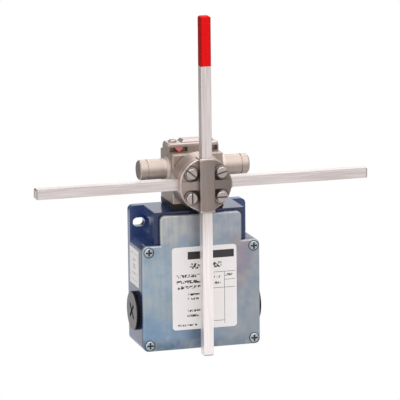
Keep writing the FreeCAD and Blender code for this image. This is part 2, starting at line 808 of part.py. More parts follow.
def head_cap():
    body = new_body("head_cap")
    lid = sketch_on(body, LEVEL, out="crown_top")
    rectangle(lid, "-head_half", "head_half", "-flange_back", "-crown_back")
    pad(body, lid, "cap_thickness")
    soften(body, BEVEL, lambda edge: runs_along(edge, "z"), "cap_chamfer")
    soften(body, BEVEL, lambda edge: at_z(edge, "cap_top"), "head_edge")
    raised = sketch_on(body, LEVEL, out="cap_top", up="-crown_mid")
    pad(body, centred(raised, "cap_pad_width", "cap_pad_depth"), "cap_pad_height")
    soften(body, BEVEL, lambda edge: at_z(edge, "cap_top + cap_pad_height"), "cap_chamfer")
    holes = circles(sketch_on(body, LEVEL, out="cap_top"), CAP_SCREWS, "screw_hole")
    cut(body, holes, "cap_thickness")
    return body


def cap_screws():
    """Slotted screws in the lid of the head, one solid each."""
    body = new_body("cap_screws")
    shanks = circles(sketch_on(body, LEVEL, out="cap_top"), CAP_SCREWS, "screw_radius")
    pad(body, shanks, "cap_thickness + crown_height - screw_play", back=True)
    heads = circles(sketch_on(body, LEVEL, out="cap_top"), CAP_SCREWS, "cap_screw_head_radius")
    pad(body, heads, "cap_screw_head_height")
    top = "cap_top + cap_screw_head_height"
    soften(body, BEVEL, lambda edge: at_z(edge, top), "screw_head_edge")
    for u, v in CAP_SCREWS:
        slot = sketch_on(body, LEVEL, out=top, across=u, up=v)
        cut(body, centred(slot, "3 * cap_screw_head_radius", "cross_width"), "cross_width")
    return body


def direction_pointer():
    """The red arrow in the left-hand window."""
    body = new_body("direction_pointer")
    low = "flange_top + window_sill + pointer_play"
    high = "flange_top + window_sill + window_height - pointer_play"
    back = "flange_back - window_depth"
    mark = sketch_on(body, FRONT, out=back, across="-window_offset")
    polygon(mark, [("0", low), ("pointer_width / 2", f"({low}) + pointer_width / 2 - pointer_play"),
                   ("pointer_width / 2", high), ("-pointer_width / 2", high),
                   ("-pointer_width / 2", f"({low}) + pointer_width / 2 - pointer_play")])
    pad(body, mark, "window_depth + pointer_stand")
    return body


def turned_about_barrel(body, side, profile):
    """Turns a profile, given as distances from the centre plane and radii, about the barrels' axis."""
    sign = SIDES[side]
    sketch = sketch_on(body, FRONT, out="barrel_forward", up="barrel_z")
    polygon(sketch, [(f"{sign} * ({along})", radius) for along, radius in profile])
    revolve(body, sketch, "H_Axis")


def barrel_cap(side):
    body = new_body(f"barrel_cap_{side}")
    groove = "barrel_reach + barrel_groove_inset"
    floor = "barrel_radius - barrel_groove_depth"
    tail = "barrel_reach - barrel_spigot"
    turned_about_barrel(body, side, [
        ("detent_spring_end", "0"), ("barrel_cap_end", "0"), ("barrel_cap_end", "barrel_radius"),
        (f"{groove} + barrel_groove_width", "barrel_radius"), (f"{groove} + barrel_groove_width", floor),
        (groove, floor), (groove, "barrel_radius"), ("barrel_reach", "barrel_radius"),
        ("barrel_reach", "stem_radius"), (tail, "stem_radius"), (tail, "spring_bore"),
        ("detent_spring_end", "spring_bore"),
    ])
    rim = f"{SIDES[side]} * barrel_cap_end"
    soften(body, BEVEL, lambda edge: at_x(edge, rim), "barrel_cap_edge")
    return body


def detent_shoe(side):
    """A spring-loaded shoe for the flats of the square cam, drawn as a corner of the cam lifts it."""
    sign = SIDES[side]
    body = new_body(f"detent_shoe_{side}")
    plate = sketch_on(body, SIDE, out=f"{sign} * shoe_face", across="-barrel_forward",
                      up="barrel_z + stem_radius - shoe_height / 2")
    pad(body, centred(plate, "shoe_depth", "shoe_height"), "shoe_thickness", back=sign < 0)
    turned_about_barrel(body, side, [
        ("shoe_back", "0"), ("detent_spring_start", "0"), ("detent_spring_start", "spring_bore"),
        ("stem_end", "spring_bore"), ("stem_end", "stem_radius"), ("shoe_back", "stem_radius"),
    ])
    return body


def coil(label, role, at, start, finish, radius, turns, axis):
    """A coil spring of square wire between two seats."""
    body = new_body(label)
    wire = sketch_on(body, role, **at)
    middle = f"(({radius}) - spring_wire / 2)"
    sign = "-" if now(f"({finish}) - ({start})") < 0 else ""
    first = f"({start}) + {sign}spring_wire / 2"
    along = (f"{first} - spring_wire / 2", f"{first} + spring_wire / 2")
    out = (f"{middle} - spring_wire / 2", f"{middle} + spring_wire / 2")
    if axis == "H_Axis":
        rectangle(wire, *along, *out)
    else:
        rectangle(wire, *out, *along)
    made = feature(body, "PartDesign::AdditiveHelix", "turns")
    made.Profile = wire
    made.ReferenceAxis = (wire, [axis])
    made.Mode = "height-turns-angle"
    made.Reversed = sign == "-"
    bind(made, "Height", f"{sign}(({finish}) - ({start})) - spring_wire")
    bind(made, "Turns", turns)
    DOC.recompute()
    return body


def detent_spring(side):
    sign = SIDES[side]
    at = {"out": "barrel_forward", "up": "barrel_z"}
    start, finish = f"{sign} * detent_spring_start", f"{sign} * detent_spring_end"
    return coil(f"detent_spring_{side}", FRONT, at, start, finish,
                "detent_spring_radius", "detent_spring_turns", "H_Axis")


def turned_about_shaft(label, profile):
    """Turns a profile, given as forward distances and radii, about the lever's axis."""
    body = new_body(label)
    sketch = sketch_on(body, SIDE, up="axis_z")
    polygon(sketch, [(f"-({forward})", radius) for forward, radius in profile])
    revolve(body, sketch, "H_Axis")
    return body


def ring(label, back, front, inner, outer):
    return turned_about_shaft(label, [(back, inner), (front, inner), (front, outer), (back, outer)])


def shaft():
    body = turned_about_shaft("shaft", [
        ("rear_pocket_floor + cam_gap", "0"), ("rear_cam_back", "0"),
        ("rear_cam_back", "rear_journal_radius"), ("rear_pocket_floor + cam_gap", "rear_journal_radius"),
    ])
    middle = sketch_on(body, FRONT, out="rear_cam_back", up="axis_z")
    pad(body, centred(middle, "shaft_square", "shaft_square"), "washer_back - cam_gap - rear_cam_back")
    journal = circle(sketch_on(body, FRONT, out="washer_back - cam_gap"), "0", "axis_z", "shaft_radius")
    pad(body, journal, "hub_back - washer_back + cam_gap")
    tenon = sketch_on(body, FRONT, out="hub_back", up="axis_z")
    pad(body, centred(tenon, "shaft_square", "shaft_square"), "tenon_length - tenon_play")
    tap = circle(sketch_on(body, FRONT, out="tenon_front - tenon_play"), "0", "axis_z",
                 "hub_screw_radius + screw_play")
    cut(body, tap, "hub_screw_length")
    return body


def square_bore(body, front, length):
    bore = sketch_on(body, FRONT, out=front, up="axis_z")
    cut(body, centred(bore, "shaft_square + 2 * fit_play", "shaft_square + 2 * fit_play"), length)


def detent_cam():
    """A square cam with rounded corners: each flat is one stay-put position."""
    front = "detent_cam_back + detent_cam_length"
    body = turned_about_shaft("detent_cam", [
        ("detent_cam_back", "0"), (front, "0"),
        (front, "detent_cam_corner"), ("detent_cam_back", "detent_cam_corner"),
    ])
    for turn in range(0, 360, 90):
        flat = sketch_on(body, FRONT, out=front, up="axis_z", turn=turn)
        rectangle(flat, "-detent_cam_corner", "detent_cam_corner",
                  "detent_cam_side / 2", "2 * detent_cam_corner")
        cut(body, flat, "detent_cam_length")
    square_bore(body, front, "detent_cam_length")
    return body


def operating_cam(label, back, turn):
    body = new_body(label)
    pad(body, circle(sketch_on(body, FRONT, out=back), "0", "axis_z", "cam_base_radius"), "cam_length")
    nose = sketch_on(body, FRONT, out=back, up="axis_z", turn=turn)
    rectangle(nose, "-cam_lobe_radius", "cam_lobe_radius", "0", "cam_lobe_reach - cam_lobe_radius")
    pad(body, nose, "cam_length")
    tip = sketch_on(body, FRONT, out=back, up="axis_z", turn=turn)
    pad(body, circle(tip, "0", "cam_lobe_reach - cam_lobe_radius", "cam_lobe_radius"), "cam_length")
    square_bore(body, f"{back} + cam_length", "cam_length")
    return body


def push_rod(side):
    across, forward = PUSH_RODS[side]
    body = new_body(f"push_rod_{side}")
    rod = circle(sketch_on(body, LEVEL, out="carrier_top"), across, f"-({forward})", "push_rod_radius")
    pad(body, rod, "push_rod_top - carrier_top")
    soften(body, BEVEL, lambda edge: at_z(edge, "push_rod_top"), "push_rod_radius / 4")
    return body


def contact_carrier(side):
    sign = SIDES[side]
    body = new_body(f"contact_carrier_{side}")
    slider = sketch_on(body, LEVEL, out="carrier_low", across=f"{sign} * carrier_mid", up="-contact_forward")
    pad(body, centred(slider, "carrier_width", "carrier_depth"), "carrier_height")
    return body


def contact_bridge(side):
    sign = SIDES[side]
    body = new_body(f"contact_bridge_{side}")
    bar = sketch_on(body, LEVEL, out="bridge_low", across=f"{sign} * carrier_mid", up="-contact_forward")
    pad(body, centred(bar, "carrier_width + 2 * bridge_overhang", "bridge_depth"), "bridge_thickness")
    return body


def contact_spring(side):
    sign = SIDES[side]
    at = {"out": "contact_forward", "across": f"{sign} * carrier_mid"}
    return coil(f"contact_spring_{side}", FRONT, at, "chamber_low", "bridge_low",
                "contact_spring_radius", "contact_spring_turns", "V_Axis")


def contact_block():
    """The moulded block that holds the fixed contacts, open at its back towards the casting."""
    body = new_body("contact_block")
    outer = sketch_on(body, FRONT, out="back_wall", up="block_top - contact_block_height / 2")
    pad(body, centred(outer, "contact_block_width", "contact_block_height"), "contact_block_depth")
    chamber = sketch_on(body, FRONT, out="chamber_front")
    rectangle(chamber, "-chamber_width / 2", "chamber_width / 2", "chamber_low", "chamber_roof")
    cut(body, chamber, "chamber_depth")
    for across, forward in PUSH_RODS.values():
        guide = circle(sketch_on(body, LEVEL, out="block_top"), across, f"-({forward})",
                       "push_rod_radius + running_play")
        cut(body, guide, "chamber_top")
    for x in STRIPS:
        slit = sketch_on(body, FRONT, out="block_front", across=x, up="strip_top - strip_thickness / 2")
        cut(body, centred(slit, "strip_width + 2 * fit_play", "strip_thickness + 2 * fit_play"),
            "contact_block_depth - chamber_depth")
    holes = circles(sketch_on(body, FRONT, out="block_front"), BLOCK_SCREWS, "screw_hole")
    cut(body, holes, "contact_block_depth")
    return body


def fixed_contacts():
    """Brass strips from under the bridges to the screw terminals at the front of the block."""
    body = new_body("fixed_contacts")
    back = "contact_forward - bridge_depth / 2"
    for x in STRIPS:
        blade = sketch_on(body, FRONT, out=back, across=x, up="strip_top - strip_thickness / 2")
        pad(body, centred(blade, "strip_width", "strip_thickness"), f"strip_tail_front - ({back})")
        tail = sketch_on(body, FRONT, out="block_front", across=x, up="strip_top - strip_tail / 2")
        pad(body, centred(tail, "2 * terminal_head_radius", "strip_tail"), "strip_thickness")
        spot = {"across": x, "up": "terminal_z"}
        head = sketch_on(body, FRONT, out="strip_tail_front", **spot)
        pad(body, circle(head, "0", "0", "terminal_head_radius"), "terminal_head_height")
        slot = sketch_on(body, FRONT, out="strip_tail_front + terminal_head_height", **spot)
        cut(body, centred(slot, "3 * terminal_head_radius", "terminal_slot"), "terminal_slot")
    return body


def earth_clamp():
    body = new_body("earth_clamp")
    spot = {"across": "earth_offset", "up": "earth_z"}
    washer = sketch_on(body, FRONT, out="earth_seat", **spot)
    pad(body, centred(washer, "earth_clamp_side", "earth_clamp_side"), "earth_clamp_thickness")
    hole = sketch_on(body, FRONT, out="earth_seat + earth_clamp_thickness", **spot)
    cut(body, circle(hole, "0", "0", "screw_hole"), "earth_clamp_thickness")
    return body


def lever_hub():
    """The drum on the shaft's end, with a channel across it for the level rod."""
    body = turned_about_shaft("lever_hub", [
        ("hub_back", "0"), ("clamp_split", "0"), ("clamp_split", "hub_radius"),
        ("hub_back + hub_edge", "hub_radius + hub_flare"), ("hub_back", "hub_radius + hub_flare - hub_edge"),
    ])
    channel = sketch_on(body, FRONT, out="clamp_split", up="axis_z")
    cut(body, centred(channel, "3 * hub_radius", "2 * channel_half"), "clamp_split - flat_rod_back")
    side = "shaft_square + 2 * tenon_play"
    socket = sketch_on(body, FRONT, out="hub_back", up="axis_z")
    cut(body, centred(socket, side, side), "tenon_length", out=True)
    seat = sketch_on(body, FRONT, out="flat_rod_back", up="axis_z")
    cut(body, circle(seat, "0", "0", "hub_screw_head_radius + screw_play"), "hub_screw_head_height")
    hole = sketch_on(body, FRONT, out="flat_rod_back", up="axis_z")
    cut(body, circle(hole, "0", "0", "hub_screw_radius + screw_play"), "hub_floor - tenon_length")
    taps = circles(sketch_on(body, FRONT, out="clamp_split"), CLAMP_SCREWS, "clamp_screw_radius + screw_play")
    cut(body, taps, "clamp_screw_bite")
    return body


def clamp_plate():
    """The front of the drum: a tall rib over the upright rod and a lower web over the level one."""
    body = turned_about_shaft("clamp_plate", [
        ("clamp_split", "0"), ("web_front", "0"), ("web_front", "hub_radius"), ("clamp_split", "hub_radius"),
    ])
    for lean in ("-", ""):
        pocket = sketch_on(body, FRONT, out="web_front", up="axis_z")
        rectangle(pocket, "-2 * hub_radius", "2 * hub_radius",
                  f"{lean}web_width / 2", f"{lean}2 * hub_radius")
        cut(body, pocket, "web_front - rim_front")
    rib = sketch_on(body, FRONT, out="clamp_split", up="axis_z")
    pad(body, centred(rib, "rib_width", "rib_length"), "rib_front - clamp_split")
    for width, height, floor in (
        ("2 * channel_half", "3 * hub_radius", "tall_rod_front"),
        ("3 * hub_radius", "2 * channel_half", "flat_rod_front"),
    ):
        channel = sketch_on(body, FRONT, out="clamp_split", up="axis_z")
        cut(body, centred(channel, width, height), f"{floor} + rod_play - clamp_split", out=True)
    soften(body, BEVEL, lambda edge: at_forward(edge, "rib_front")
           or at_forward(edge, "rim_front") and edge.BoundBox.XLength > NEAR and edge.BoundBox.ZLength > NEAR,
           "hub_edge")
    holes = circles(sketch_on(body, FRONT, out="rim_front"), CLAMP_SCREWS, "clamp_screw_radius + screw_play")
    cut(body, holes, "rim_front - clamp_split")
    return body


# Slots of the four clamp screws, as a fitter leaves them: turned by different amounts.
CLAMP_SLOT_TURNS = (90, -40, 0, 15)


def clamp_screws():
    body = new_body("clamp_screws")
    bite = "(clamp_screw_bite - screw_play)"
    shanks = circles(sketch_on(body, FRONT, out=f"clamp_split - {bite}"), CLAMP_SCREWS, "clamp_screw_radius")
    pad(body, shanks, f"clamp_seat - clamp_split + {bite}")
    heads = circles(sketch_on(body, FRONT, out="clamp_seat"), CLAMP_SCREWS, "clamp_head_radius")
    pad(body, heads, "clamp_head_height")
    top = "clamp_seat + clamp_head_height"
    soften(body, BEVEL, lambda edge: at_forward(edge, top), "clamp_head_edge")
    for (u, v), turn in zip(CLAMP_SCREWS, CLAMP_SLOT_TURNS):
        slot = sketch_on(body, FRONT, out=top, across=u, up=v, turn=turn)
        cut(body, centred(slot, "3 * clamp_head_radius", "clamp_slot_width"), "clamp_slot_depth")
    return body


def clamp_washers():
    body = new_body("clamp_washers")
    rings = circles(sketch_on(body, FRONT, out="rim_front"), CLAMP_SCREWS, "clamp_washer_radius")
    circles(rings, CLAMP_SCREWS, "clamp_screw_radius + screw_play")
    pad(body, rings, "clamp_washer_thickness")
    return body


def hub_screw():
    body = turned_about_shaft("hub_screw", [
        ("flat_rod_back - hub_screw_head_height - hub_screw_length + tenon_length", "0"),
        ("flat_rod_back", "0"), ("flat_rod_back", "hub_screw_head_radius"),
        ("flat_rod_back - hub_screw_head_height", "hub_screw_head_radius"),
        ("flat_rod_back - hub_screw_head_height", "hub_screw_radius"),
        ("flat_rod_back - hub_screw_head_height - hub_screw_length + tenon_length", "hub_screw_radius"),
    ])
    drive = sketch_on(body, FRONT, out="flat_rod_back", up="axis_z")
    cut(body, centred(drive, "cross_length", "cross_width"), "cross_depth")
    return body


def level_rod():
    body = new_body("level_rod")
    section = sketch_on(body, SIDE, out="-rod_length / 2", across="-flat_rod_back - rod_half", up="axis_z")
    pad(body, centred(section, "rod_size", "rod_size"), "rod_length")
    for end in ("rod_length / 2", "-rod_length / 2"):
        soften(body, BEVEL, lambda edge: at_x(edge, end), "rod_chamfer")
    return body


def upright_rod():
    body = new_body("upright_rod")
    spot = {"across": "0", "up": "-tall_rod_back - rod_half"}
    section = sketch_on(body, LEVEL, out="upright_low", **spot)
    pad(body, centred(section, "rod_size", "rod_size"), "rod_length - sleeve_length")
    soften(body, BEVEL, lambda edge: at_z(edge, "upright_low"), "rod_chamfer")
    core = sketch_on(body, LEVEL, out="sleeve_low", **spot)
    pad(body, centred(core, "2 * sleeve_core_half", "2 * sleeve_core_half"),
        "sleeve_length - sleeve_cap - sleeve_play")
    return body


def red_sleeve():
    """The red sleeve that marks the upper end of the upright rod."""
    body = new_body("red_sleeve")
    spot = {"across": "0", "up": "-tall_rod_back - rod_half"}
    outside = sketch_on(body, LEVEL, out="sleeve_low", **spot)
    pad(body, centred(outside, "rod_size", "rod_size"), "sleeve_length")
    soften(body, BEVEL, lambda edge: at_z(edge, "upright_high"), "rod_chamfer")
    inside = sketch_on(body, LEVEL, out="sleeve_low", **spot)
    cut(body, centred(inside, "rod_size - 2 * sleeve_wall", "rod_size - 2 * sleeve_wall"),
        "sleeve_length - sleeve_cap", out=True)
    return body


pieces = [
    body_casting(),
    cover_gasket(),
    front_cover(),
    cover_screws(),
    name_plate(),
    side_label(),
    head_gasket(),
    head_base(),
    head_housing(),
    hidden_screws("head_screws", LEVEL, HEAD_SCREWS, "cavity_top",
                  "head_low - cavity_top + head_screw_depth - screw_play"),
    head_cap(),
    cap_screws(),
    direction_pointer(),
    shaft(),
    ring("front_bush", "head_cavity_front", "head_cavity_front + bush_length", "shaft_radius + running_play",
         "bush_radius"),
    ring("shaft_seal", "head_cavity_front + bush_length", "head_front", "shaft_radius + running_play",
         "bush_radius"),
    ring("rear_bush", "rear_pocket_floor", "rear_bush_front", "rear_journal_radius + running_play",
         "rear_bush_radius"),
    ring("thrust_washer", "washer_back", "washer_back + washer_thickness", "shaft_radius + fit_play",
         "washer_radius"),
    detent_cam(),
    operating_cam("operating_cam_rear", "rear_cam_back", 0),
    operating_cam("operating_cam_front", "front_cam_back", 90),
    contact_block(),
    fixed_contacts(),
    hidden_screws("block_screws", FRONT, BLOCK_SCREWS, "block_front",
                  "contact_block_depth + block_screw_bite - screw_play"),
    earth_clamp(),
    hidden_screws("earth_screw", FRONT, [("earth_offset", "earth_z")], "earth_seat + earth_clamp_thickness",
                  "earth_clamp_thickness + earth_screw_length - screw_play"),
    lever_hub(),
    hub_screw(),
    clamp_plate(),
    clamp_washers(),
    clamp_screws(),
    level_rod(),
    upright_rod(),
    red_sleeve(),
]
for side in SIDES:
    pieces += [
        cable_plug(side), plug_seal(side), barrel_cap(side), detent_shoe(side), detent_spring(side),
        push_rod(side), contact_carrier(side), contact_bridge(side), contact_spring(side),
    ]

DOC.recompute()
for thing in DOC.Objects:
    if {"Invalid", "Error"} & set(thing.State):
        raise RuntimeError(f"{thing.Name} failed: {thing.State}")
for piece in pieces:
    if piece.Shape.isNull() or not piece.Shape.isValid() or not piece.Shape.Solids:
        raise RuntimeError(f"{piece.Label} has no valid solid")

os.makedirs("parts", exist_ok=True)
for piece in pieces:
    piece.Shape.exportStep(f"parts/{piece.Label}.step")
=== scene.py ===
"""Looks of the position switch: the photograph's studio, the pieces' finishes and coil springs in the CAD
springs' places.
"""
import math

import bmesh
import bpy
from mathutils import Color, Matrix, Vector


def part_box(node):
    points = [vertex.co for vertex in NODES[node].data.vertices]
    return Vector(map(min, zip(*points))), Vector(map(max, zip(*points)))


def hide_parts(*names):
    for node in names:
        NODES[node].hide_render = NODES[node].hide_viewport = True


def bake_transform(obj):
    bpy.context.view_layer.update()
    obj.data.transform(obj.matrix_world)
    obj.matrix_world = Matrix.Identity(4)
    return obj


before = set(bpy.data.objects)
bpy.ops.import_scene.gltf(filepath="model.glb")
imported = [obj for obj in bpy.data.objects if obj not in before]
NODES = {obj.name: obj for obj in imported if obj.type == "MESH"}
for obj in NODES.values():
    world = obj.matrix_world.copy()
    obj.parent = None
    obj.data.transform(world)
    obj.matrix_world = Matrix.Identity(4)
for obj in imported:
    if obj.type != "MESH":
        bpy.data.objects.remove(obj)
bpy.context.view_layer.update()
MM = 0.001
SIDES = ("left", "right")

# The photograph's view: a long lens from the front, a little from the left and from above.
IMAGE_SIZE = 400
SENSOR = 36.0
FOCAL_PIXELS = 3133
CAMERA_YAW = math.radians(16.16)
CAMERA_PITCH = math.radians(11.7)
CAMERA_ROLL = math.radians(-0.61)
CAMERA_DISTANCE = 1.824
CAMERA_TARGET = Vector((0.44, -30, 15.88)) * MM
CAMERA_REACH = 100


def set_camera():
    """Places the camera as the photograph was taken."""
    forward = Vector((math.sin(CAMERA_YAW) * math.cos(CAMERA_PITCH),
                      math.cos(CAMERA_YAW) * math.cos(CAMERA_PITCH), -math.sin(CAMERA_PITCH)))
    level = Vector((math.cos(CAMERA_YAW), -math.sin(CAMERA_YAW), 0))
    right = Matrix.Rotation(CAMERA_ROLL, 3, -forward) @ level
    up = right.cross(forward)
    data = bpy.data.cameras.new("camera")
    data.sensor_width = SENSOR
    data.lens = FOCAL_PIXELS * SENSOR / IMAGE_SIZE
    data.clip_end = CAMERA_REACH
    camera = bpy.data.objects.new("camera", data)
    turn = Matrix((right, up, -forward)).transposed().to_4x4()
    camera.matrix_world = Matrix.Translation(CAMERA_TARGET - forward * CAMERA_DISTANCE) @ turn
    bpy.context.collection.objects.link(camera)
    bpy.context.scene.camera = camera


class Wire:
    """A socket of a finish. Arithmetic on it adds Math nodes."""

    def __init__(self, finish, socket):
        self.finish = finish
        self.socket = socket

    def math(self, operation, *others):
        """Adds a Math node that takes this value first."""
        values = dict(enumerate((self, *others)))
        return self.finish.node("ShaderNodeMath", {"operation": operation}, values)

    def __add__(self, other):
        return self.math("ADD", other)

    __radd__ = __add__

    def __mul__(self, other):
        return self.math("MULTIPLY", other)

    __rmul__ = __mul__

    def __sub__(self, other):
        return self.math("SUBTRACT", other)

    def __rsub__(self, other):
        return self.finish.node("ShaderNodeMath", {"operation": "SUBTRACT"}, {0: other, 1: self})

    def above(self, limit):
        return self.math("GREATER_THAN", limit)

    def below(self, limit):
        return self.math("LESS_THAN", limit)

    def either(self, other):
        return self.math("MAXIMUM", other)

    def size(self):
        return self.math("ABSOLUTE")

    def distance(self, other):
        """How far off a point is that lies this far along one axis and the other far along a second."""
        return (self * self + other * other).math("SQRT")

    def between(self, low, high):
        """A value that goes from low to high as this one goes from 0 to 1."""
        return self * (high - low) + low

    def strayed(self, cloud, reach):
        """This distance, moved to and fro by a cloud over the given reach."""
        return self + (cloud - 0.5) * reach


# A Mix node has sockets for numbers, vectors and colours under the same names, so its colours go by number.
MIX_SHARE = 0
MIX_FIRST = 6
MIX_SECOND = 7
MIX_RESULT = 2


class Finish:
    """A material, or a world, built up from nodes that read the piece's own coordinates."""

    def __init__(self, name, owner=None):
        self.owner = owner or bpy.data.materials.new(name)
        self.owner.use_nodes = True
        self.tree = self.owner.node_tree
        self.tree.nodes.clear()

    def node(self, kind, settings=None, inputs=None, output=0):
        """Adds a node: its settings first, then its sockets' values or links."""
        made = self.tree.nodes.new(kind)
        for name, value in (settings or {}).items():
            setattr(made, name, value)
        for key, value in (inputs or {}).items():
            if isinstance(value, Wire):
                self.tree.links.new(value.socket, made.inputs[key])
            else:
                made.inputs[key].default_value = value
        return Wire(self, made.outputs[output]) if made.outputs else None

    def place(self):
        """The point on the piece, in metres in the object's own frame."""
        return self.node("ShaderNodeTexCoord", output="Object")

    def axes(self):
        """The point's X, Y and Z in millimetres."""
        split = self.node("ShaderNodeSeparateXYZ", None, {0: self.place()}).socket.node
        return [Wire(self, socket) * (1 / MM) for socket in split.outputs]

    def grain(self, scale, detail=3, stretch=(1, 1, 1)):
        """Cloudy noise with the given number of swells per metre, stretched along the axes."""
        moved = self.node("ShaderNodeMapping", None, {"Vector": self.place(), "Scale": stretch})
        inputs = {"Vector": moved, "Scale": scale, "Detail": detail}
        return self.node("ShaderNodeTexNoise", None, inputs, "Fac")

    def blend(self, share, first, second):
        """A colour between two colours."""
        inputs = {MIX_SHARE: share, MIX_FIRST: first, MIX_SECOND: second}
        return self.node("ShaderNodeMix", {"data_type": "RGBA"}, inputs, MIX_RESULT)

    def mottled(self, tones, share):
        """A colour between the dark and the light tone of a pair."""
        dark, light = TONES[tones]
        return self.blend(share, linear(*dark), linear(*light))

    def fade(self, value, low, high):
        """0 below the one limit and 1 above the other, with a smooth change in between."""
        inputs = {"Value": value, "From Min": low, "From Max": high}
        return self.node("ShaderNodeMapRange", {"interpolation_type": "SMOOTHSTEP"}, inputs)

    def bump(self, height, depth):
        """A normal for a relief of the given depth in millimetres."""
        inputs = {"Height": height, "Distance": depth * MM, "Strength": 1.0}
        return self.node("ShaderNodeBump", None, inputs)

    def surface(self, **inputs):
        """The finished shader. Names are those of its sockets, with underlines for blanks."""
        values = {name.replace("_", " "): value for name, value in inputs.items()}
        shader = self.node("ShaderNodeBsdfPrincipled", None, values)
        self.node("ShaderNodeOutputMaterial", None, {"Surface": shader})
        return self.owner


def linear(red, green, blue):
    """A colour as it reads on a screen, from 0 to 255, turned into the shader's own scale."""
    screen = Color((red / 255, green / 255, blue / 255))
    return (*screen.from_srgb_to_scene_linear(), 1.0)


# The dark and the light tone between which each finish is mottled, as they read on a screen.
TONES = {
    # The front navy tones are the paint in painted shade.
    "navy_shaded_front": ((20, 32, 66), (29, 46, 90)),
    "navy_back": ((44, 64, 110), (55, 79, 134)),
    "head_zinc": ((140, 126, 117), (172, 156, 146)),
    "cap_zinc": ((162, 149, 144), (190, 177, 172)),
    # The clamp's tones: its lit side, and the side in painted shade.
    "clamp_lit": ((136, 122, 116), (168, 153, 146)),
    "clamp_shaded": ((102, 91, 86), (132, 119, 113)),
    # The rods' tones: the plain steel, and the painted light on the upright rod's lower part.
    "rod_plain": ((186, 175, 173), (218, 209, 208)),
    "rod_lit_below": ((226, 217, 216), (246, 239, 238)),
    "bright_plate": ((142, 150, 156), (182, 190, 196)),
    "dull_plate": ((152, 141, 137), (182, 170, 166)),
    "ground_steel": ((150, 150, 150), (180, 180, 180)),
    "spring_steel": ((130, 130, 134), (160, 160, 164)),
    "contact_brass": ((186, 150, 84), (212, 178, 110)),
    "bearing_bronze": ((150, 112, 66), (178, 138, 86)),
    "cam_plastic": ((216, 214, 206), (228, 226, 219)),
    "block_plastic": ((70, 70, 74), (84, 84, 88)),
    "black_plastic": ((22, 20, 20), (34, 31, 30)),
    "plug_plastic": ((15, 14, 15), (24, 23, 24)),
    "seal_rubber": ((26, 26, 26), (38, 38, 38)),
    "red_plastic": ((222, 16, 17), (234, 26, 27)),
    "pointer_red": ((200, 96, 96), (216, 120, 118)),
    "label_paper": ((236, 231, 230), (243, 239, 238)),
    "pale_floor": ((236, 236, 236), (242, 242, 242)),
}

# Places on the pieces are in millimetres. A pair of them is where a change in a finish starts and ends.
# Painted shade on the paint: from the front, where it is darkest, to the back.
PAINT_SHADE_DEPTH = (-34.0, -12.0)


def navy_paint():
    """Thick glossy paint on a casting, with a faint orange peel, deeper in tone towards the front as painted
    shade.
    """
    finish = Finish("navy_paint")
    peel = finish.grain(500, detail=2)
    cloud = finish.grain(40, detail=2)
    # Painted shade: the paint turns darker towards the front.
    depth = finish.fade(finish.axes()[1], *PAINT_SHADE_DEPTH)
    colour = finish.blend(depth, finish.mottled("navy_shaded_front", cloud), finish.mottled("navy_back", cloud))
    return finish.surface(
        Base_Color=colour, Roughness=peel.between(0.15, 0.23), Coat_Weight=cloud.between(0.05, 0.2),
        Coat_Roughness=0.04, Normal=finish.bump(peel, 0.01),
    )


COVER_UPPER_LEFT = linear(177, 177, 176)
COVER_UPPER_RIGHT = linear(150, 155, 165)
COVER_MIDDLE_LEFT = linear(156, 170, 180)
COVER_LOWER_LEFT = linear(122, 147, 172)
COVER_LOWER_RIGHT = linear(144, 150, 158)
COVER_BLUSH = linear(148, 134, 144)
COVER_STRAW = linear(166, 166, 152)
COVER_BLUE = linear(112, 134, 160)
COVER_DEEP_BLUE = linear(60, 84, 112)
COVER_PALE_SPOTS = linear(176, 176, 168)
COVER_STREAKS = linear(136, 144, 152)
COVER_LOWER_TO_UPPER = (-14.0, 0.0)
COVER_LOWER_TO_MIDDLE = (-62.0, -22.0)
COVER_LEFT_TO_RIGHT = (-30.0, 30.0)
COVER_FOOT = (-63.0, -70.0)
BAND_LOWER_EDGE = (-24.0, -15.0)
BAND_UPPER_EDGE = (-4.0, -10.0)
# Edges of the painted shade left of the upright rod's foot.
ROD_SHADE_LEFT_EDGE = (-14.0, -4.0)
ROD_SHADE_RIGHT_EDGE = (4.0, 0.0)
ROD_SHADE_UPPER_EDGE = (-54.0, -62.0)
BLUSH_LEFT_EDGE = (12.0, 20.0)
BLUSH_RIGHT_EDGE = (32.0, 25.0)
BLUSH_LOWER_EDGE = (-44.0, -26.0)
BLUSH_UPPER_EDGE = (-2.0, -10.0)
COVER_STRETCH = (1, 1, 0.05)


